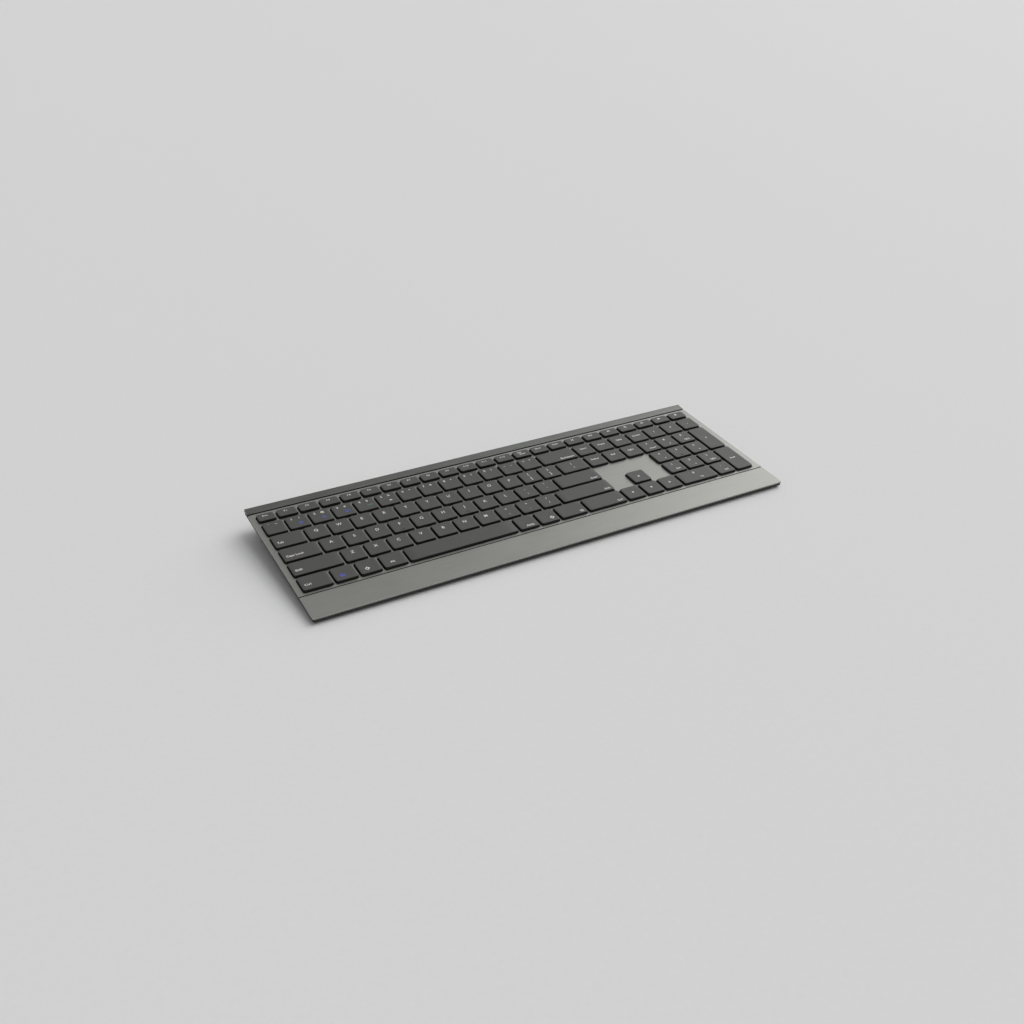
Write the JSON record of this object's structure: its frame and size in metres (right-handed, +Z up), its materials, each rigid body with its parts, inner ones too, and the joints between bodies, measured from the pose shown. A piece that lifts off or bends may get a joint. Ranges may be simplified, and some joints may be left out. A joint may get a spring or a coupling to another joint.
{
  "type": "computer keyboard",
  "caption": "Slim wireless keyboard with a numeric keypad: flat metal deck, scissor-switch keys that travel down, and a battery housing under the rear edge.",
  "frame": {"origin": "on the table under the middle of the keyboard: centre of its bounding box in x and y, underside of the rubber feet in z", "axes": "+X along the key rows towards the numeric keypad, +Y towards the function row (away from the user), +Z up; the deck leans up to the rear by 5.27 degrees"},
  "size_m": [0.4274, 0.1498, 0.0197],
  "materials": {
    "deck_aluminium": "fine brushed, grey anodised",
    "bar_aluminium": "brushed, dark grey anodised",
    "tape_black": "acrylic foam tape",
    "case_plastic": "black ABS, fine texture",
    "plate_steel": "galvanised sheet",
    "polyester_film": "clear polyester film",
    "dome_silicone": "milky silicone",
    "scissor_plastic": "white acetal",
    "wire_steel": "drawn spring wire",
    "board_laminate": "green solder mask",
    "chip_epoxy": "moulded epoxy",
    "clamp_plastic": "natural nylon",
    "cell_sleeve": "printed sleeve",
    "contact_nickel": "nickel plated",
    "screw_steel": "black zinc",
    "slider_plastic": "light grey acetal",
    "foot_rubber": "black silicone rubber",
    "key_plastic": "satin grey-black coating"
  },
  "bodies": {
    "chassis": {"top_cover": "deck_aluminium", "rear_bar": "bar_aluminium", "bonding_tape": "tape_black", "bottom_cover": "case_plastic", "rear_housing": "case_plastic", "switch_plate": "plate_steel", "membrane_lower": "polyester_film", "membrane_spacer": "polyester_film", "membrane_upper": "polyester_film", "membrane_tail": "polyester_film", "rubber_domes": "dome_silicone", "scissor_outer_frames": "scissor_plastic", "scissor_inner_frames": "scissor_plastic", "stabiliser_wires": "wire_steel", "controller_board": "board_laminate", "board_components": "chip_epoxy", "tail_clamp": "clamp_plastic", "battery_cells": "cell_sleeve", "battery_spring": "contact_nickel", "battery_contacts": "contact_nickel", "case_screws": "screw_steel", "front_feet": "foot_rubber", "rear_feet": "foot_rubber"},
    "battery_door": {"battery_door": "case_plastic"},
    "power_slider": {"power_slider": "slider_plastic"},
    "function_keys": {"function_keys": "key_plastic"},
    "media_keys": {"media_keys": "key_plastic"},
    "number_keys": {"number_keys": "key_plastic"},
    "key_backspace": {"key_backspace": "key_plastic"},
    "key_tab": {"key_tab": "key_plastic"},
    "letter_keys_upper": {"letter_keys_upper": "key_plastic"},
    "key_backslash": {"key_backslash": "key_plastic"},
    "key_caps_lock": {"key_caps_lock": "key_plastic"},
    "letter_keys_home": {"letter_keys_home": "key_plastic"},
    "key_enter": {"key_enter": "key_plastic"},
    "key_shift_left": {"key_shift_left": "key_plastic"},
    "letter_keys_lower": {"letter_keys_lower": "key_plastic"},
    "key_shift_right": {"key_shift_right": "key_plastic"},
    "modifier_keys_left": {"modifier_keys_left": "key_plastic"},
    "key_space": {"key_space": "key_plastic"},
    "modifier_keys_right": {"modifier_keys_right": "key_plastic"},
    "navigation_keys": {"navigation_keys": "key_plastic"},
    "arrow_keys": {"arrow_keys": "key_plastic"},
    "key_numpad_num_lock": {"key_numpad_num_lock": "key_plastic"},
    "key_numpad_divide": {"key_numpad_divide": "key_plastic"},
    "key_numpad_multiply": {"key_numpad_multiply": "key_plastic"},
    "key_numpad_minus": {"key_numpad_minus": "key_plastic"},
    "key_numpad_7": {"key_numpad_7": "key_plastic"},
    "key_numpad_8": {"key_numpad_8": "key_plastic"},
    "key_numpad_9": {"key_numpad_9": "key_plastic"},
    "key_numpad_4": {"key_numpad_4": "key_plastic"},
    "key_numpad_5": {"key_numpad_5": "key_plastic"},
    "key_numpad_6": {"key_numpad_6": "key_plastic"},
    "key_numpad_1": {"key_numpad_1": "key_plastic"},
    "key_numpad_2": {"key_numpad_2": "key_plastic"},
    "key_numpad_3": {"key_numpad_3": "key_plastic"},
    "key_numpad_plus": {"key_numpad_plus": "key_plastic"},
    "key_numpad_enter": {"key_numpad_enter": "key_plastic"},
    "key_numpad_0": {"key_numpad_0": "key_plastic"},
    "key_numpad_decimal": {"key_numpad_decimal": "key_plastic"}
  },
  "joints": [
    {"name": "function_keys_press", "type": "slide", "parent": "chassis", "child": "function_keys", "axis": [0, 0.0918, -0.9958], "range_m": [0, 0.0016], "stiffness_N_per_m": 6000, "springref_m": -0.001, "deforming": ["rubber_domes", "scissor_outer_frames", "scissor_inner_frames"]},
    {"name": "media_keys_press", "type": "slide", "parent": "chassis", "child": "media_keys", "axis": [0, 0.0918, -0.9958], "range_m": [0, 0.0016], "stiffness_N_per_m": 2625, "springref_m": -0.001, "deforming": ["rubber_domes", "scissor_outer_frames", "scissor_inner_frames"]},
    {"name": "number_keys_press", "type": "slide", "parent": "chassis", "child": "number_keys", "axis": [0, 0.0918, -0.9958], "range_m": [0, 0.0016], "stiffness_N_per_m": 4875, "springref_m": -0.001, "deforming": ["rubber_domes", "scissor_outer_frames", "scissor_inner_frames"]},
    {"name": "key_backspace_press", "type": "slide", "parent": "chassis", "child": "key_backspace", "axis": [0, 0.0918, -0.9958], "range_m": [0, 0.0016], "stiffness_N_per_m": 375, "springref_m": -0.001, "deforming": ["rubber_domes", "scissor_outer_frames", "scissor_inner_frames", "stabiliser_wires"]},
    {"name": "key_tab_press", "type": "slide", "parent": "chassis", "child": "key_tab", "axis": [0, 0.0918, -0.9958], "range_m": [0, 0.0016], "stiffness_N_per_m": 375, "springref_m": -0.001, "deforming": ["rubber_domes", "scissor_outer_frames", "scissor_inner_frames"]},
    {"name": "letter_keys_upper_press", "type": "slide", "parent": "chassis", "child": "letter_keys_upper", "axis": [0, 0.0918, -0.9958], "range_m": [0, 0.0016], "stiffness_N_per_m": 4500, "springref_m": -0.001, "deforming": ["rubber_domes", "scissor_outer_frames", "scissor_inner_frames"]},
    {"name": "key_backslash_press", "type": "slide", "parent": "chassis", "child": "key_backslash", "axis": [0, 0.0918, -0.9958], "range_m": [0, 0.0016], "stiffness_N_per_m": 375, "springref_m": -0.001, "deforming": ["rubber_domes", "scissor_outer_frames", "scissor_inner_frames"]},
    {"name": "key_caps_lock_press", "type": "slide", "parent": "chassis", "child": "key_caps_lock", "axis": [0, 0.0918, -0.9958], "range_m": [0, 0.0016], "stiffness_N_per_m": 375, "springref_m": -0.001, "deforming": ["rubber_domes", "scissor_outer_frames", "scissor_inner_frames"]},
    {"name": "letter_keys_home_press", "type": "slide", "parent": "chassis", "child": "letter_keys_home", "axis": [0, 0.0918, -0.9958], "range_m": [0, 0.0016], "stiffness_N_per_m": 4125, "springref_m": -0.001, "deforming": ["rubber_domes", "scissor_outer_frames", "scissor_inner_frames"]},
    {"name": "key_enter_press", "type": "slide", "parent": "chassis", "child": "key_enter", "axis": [0, 0.0918, -0.9958], "range_m": [0, 0.0016], "stiffness_N_per_m": 375, "springref_m": -0.001, "deforming": ["rubber_domes", "scissor_outer_frames", "scissor_inner_frames", "stabiliser_wires"]},
    {"name": "key_shift_left_press", "type": "slide", "parent": "chassis", "child": "key_shift_left", "axis": [0, 0.0918, -0.9958], "range_m": [0, 0.0016], "stiffness_N_per_m": 375, "springref_m": -0.001, "deforming": ["rubber_domes", "scissor_outer_frames", "scissor_inner_frames", "stabiliser_wires"]},
    {"name": "letter_keys_lower_press", "type": "slide", "parent": "chassis", "child": "letter_keys_lower", "axis": [0, 0.0918, -0.9958], "range_m": [0, 0.0016], "stiffness_N_per_m": 3750, "springref_m": -0.001, "deforming": ["rubber_domes", "scissor_outer_frames", "scissor_inner_frames"]},
    {"name": "key_shift_right_press", "type": "slide", "parent": "chassis", "child": "key_shift_right", "axis": [0, 0.0918, -0.9958], "range_m": [0, 0.0016], "stiffness_N_per_m": 375, "springref_m": -0.001, "deforming": ["rubber_domes", "scissor_outer_frames", "scissor_inner_frames", "stabiliser_wires"]},
    {"name": "modifier_keys_left_press", "type": "slide", "parent": "chassis", "child": "modifier_keys_left", "axis": [0, 0.0918, -0.9958], "range_m": [0, 0.0016], "stiffness_N_per_m": 1500, "springref_m": -0.001, "deforming": ["rubber_domes", "scissor_outer_frames", "scissor_inner_frames"]},
    {"name": "key_space_press", "type": "slide", "parent": "chassis", "child": "key_space", "axis": [0, 0.0918, -0.9958], "range_m": [0, 0.0016], "stiffness_N_per_m": 375, "springref_m": -0.001, "deforming": ["rubber_domes", "scissor_outer_frames", "scissor_inner_frames", "stabiliser_wires"]},
    {"name": "modifier_keys_right_press", "type": "slide", "parent": "chassis", "child": "modifier_keys_right", "axis": [0, 0.0918, -0.9958], "range_m": [0, 0.0016], "stiffness_N_per_m": 1500, "springref_m": -0.001, "deforming": ["rubber_domes", "scissor_outer_frames", "scissor_inner_frames", "stabiliser_wires"]},
    {"name": "navigation_keys_press", "type": "slide", "parent": "chassis", "child": "navigation_keys", "axis": [0, 0.0918, -0.9958], "range_m": [0, 0.0016], "stiffness_N_per_m": 2250, "springref_m": -0.001, "deforming": ["rubber_domes", "scissor_outer_frames", "scissor_inner_frames"]},
    {"name": "arrow_keys_press", "type": "slide", "parent": "chassis", "child": "arrow_keys", "axis": [0, 0.0918, -0.9958], "range_m": [0, 0.0016], "stiffness_N_per_m": 1500, "springref_m": -0.001, "deforming": ["rubber_domes", "scissor_outer_frames", "scissor_inner_frames"]},
    {"name": "key_numpad_num_lock_press", "type": "slide", "parent": "chassis", "child": "key_numpad_num_lock", "axis": [0, 0.0918, -0.9958], "range_m": [0, 0.0016], "stiffness_N_per_m": 375, "springref_m": -0.001, "deforming": ["rubber_domes", "scissor_outer_frames", "scissor_inner_frames"]},
    {"name": "key_numpad_divide_press", "type": "slide", "parent": "chassis", "child": "key_numpad_divide", "axis": [0, 0.0918, -0.9958], "range_m": [0, 0.0016], "stiffness_N_per_m": 375, "springref_m": -0.001, "deforming": ["rubber_domes", "scissor_outer_frames", "scissor_inner_frames"]},
    {"name": "key_numpad_multiply_press", "type": "slide", "parent": "chassis", "child": "key_numpad_multiply", "axis": [0, 0.0918, -0.9958], "range_m": [0, 0.0016], "stiffness_N_per_m": 375, "springref_m": -0.001, "deforming": ["rubber_domes", "scissor_outer_frames", "scissor_inner_frames"]},
    {"name": "key_numpad_minus_press", "type": "slide", "parent": "chassis", "child": "key_numpad_minus", "axis": [0, 0.0918, -0.9958], "range_m": [0, 0.0016], "stiffness_N_per_m": 375, "springref_m": -0.001, "deforming": ["rubber_domes", "scissor_outer_frames", "scissor_inner_frames"]},
    {"name": "key_numpad_7_press", "type": "slide", "parent": "chassis", "child": "key_numpad_7", "axis": [0, 0.0918, -0.9958], "range_m": [0, 0.0016], "stiffness_N_per_m": 375, "springref_m": -0.001, "deforming": ["rubber_domes", "scissor_outer_frames", "scissor_inner_frames"]},
    {"name": "key_numpad_8_press", "type": "slide", "parent": "chassis", "child": "key_numpad_8", "axis": [0, 0.0918, -0.9958], "range_m": [0, 0.0016], "stiffness_N_per_m": 375, "springref_m": -0.001, "deforming": ["rubber_domes", "scissor_outer_frames", "scissor_inner_frames"]},
    {"name": "key_numpad_9_press", "type": "slide", "parent": "chassis", "child": "key_numpad_9", "axis": [0, 0.0918, -0.9958], "range_m": [0, 0.0016], "stiffness_N_per_m": 375, "springref_m": -0.001, "deforming": ["rubber_domes", "scissor_outer_frames", "scissor_inner_frames"]},
    {"name": "key_numpad_4_press", "type": "slide", "parent": "chassis", "child": "key_numpad_4", "axis": [0, 0.0918, -0.9958], "range_m": [0, 0.0016], "stiffness_N_per_m": 375, "springref_m": -0.001, "deforming": ["rubber_domes", "scissor_outer_frames", "scissor_inner_frames"]},
    {"name": "key_numpad_5_press", "type": "slide", "parent": "chassis", "child": "key_numpad_5", "axis": [0, 0.0918, -0.9958], "range_m": [0, 0.0016], "stiffness_N_per_m": 375, "springref_m": -0.001, "deforming": ["rubber_domes", "scissor_outer_frames", "scissor_inner_frames"]},
    {"name": "key_numpad_6_press", "type": "slide", "parent": "chassis", "child": "key_numpad_6", "axis": [0, 0.0918, -0.9958], "range_m": [0, 0.0016], "stiffness_N_per_m": 375, "springref_m": -0.001, "deforming": ["rubber_domes", "scissor_outer_frames", "scissor_inner_frames"]},
    {"name": "key_numpad_1_press", "type": "slide", "parent": "chassis", "child": "key_numpad_1", "axis": [0, 0.0918, -0.9958], "range_m": [0, 0.0016], "stiffness_N_per_m": 375, "springref_m": -0.001, "deforming": ["rubber_domes", "scissor_outer_frames", "scissor_inner_frames"]},
    {"name": "key_numpad_2_press", "type": "slide", "parent": "chassis", "child": "key_numpad_2", "axis": [0, 0.0918, -0.9958], "range_m": [0, 0.0016], "stiffness_N_per_m": 375, "springref_m": -0.001, "deforming": ["rubber_domes", "scissor_outer_frames", "scissor_inner_frames"]},
    {"name": "key_numpad_3_press", "type": "slide", "parent": "chassis", "child": "key_numpad_3", "axis": [0, 0.0918, -0.9958], "range_m": [0, 0.0016], "stiffness_N_per_m": 375, "springref_m": -0.001, "deforming": ["rubber_domes", "scissor_outer_frames", "scissor_inner_frames"]},
    {"name": "key_numpad_plus_press", "type": "slide", "parent": "chassis", "child": "key_numpad_plus", "axis": [0, 0.0918, -0.9958], "range_m": [0, 0.0016], "stiffness_N_per_m": 375, "springref_m": -0.001, "deforming": ["rubber_domes", "scissor_outer_frames", "scissor_inner_frames", "stabiliser_wires"]},
    {"name": "key_numpad_enter_press", "type": "slide", "parent": "chassis", "child": "key_numpad_enter", "axis": [0, 0.0918, -0.9958], "range_m": [0, 0.0016], "stiffness_N_per_m": 375, "springref_m": -0.001, "deforming": ["rubber_domes", "scissor_outer_frames", "scissor_inner_frames", "stabiliser_wires"]},
    {"name": "key_numpad_0_press", "type": "slide", "parent": "chassis", "child": "key_numpad_0", "axis": [0, 0.0918, -0.9958], "range_m": [0, 0.0016], "stiffness_N_per_m": 375, "springref_m": -0.001, "deforming": ["rubber_domes", "scissor_outer_frames", "scissor_inner_frames", "stabiliser_wires"]},
    {"name": "key_numpad_decimal_press", "type": "slide", "parent": "chassis", "child": "key_numpad_decimal", "axis": [0, 0.0918, -0.9958], "range_m": [0, 0.0016], "stiffness_N_per_m": 375, "springref_m": -0.001, "deforming": ["rubber_domes", "scissor_outer_frames", "scissor_inner_frames"]},
    {"name": "power_slide", "type": "slide", "parent": "chassis", "child": "power_slider", "axis": [1, 0, 0], "range_m": [0, 0.003]},
    {"name": "battery_door_slide", "type": "slide", "parent": "chassis", "child": "battery_door", "axis": [0, 0.9958, 0.0918], "range_m": [0, 0.0028]}
  ]
}
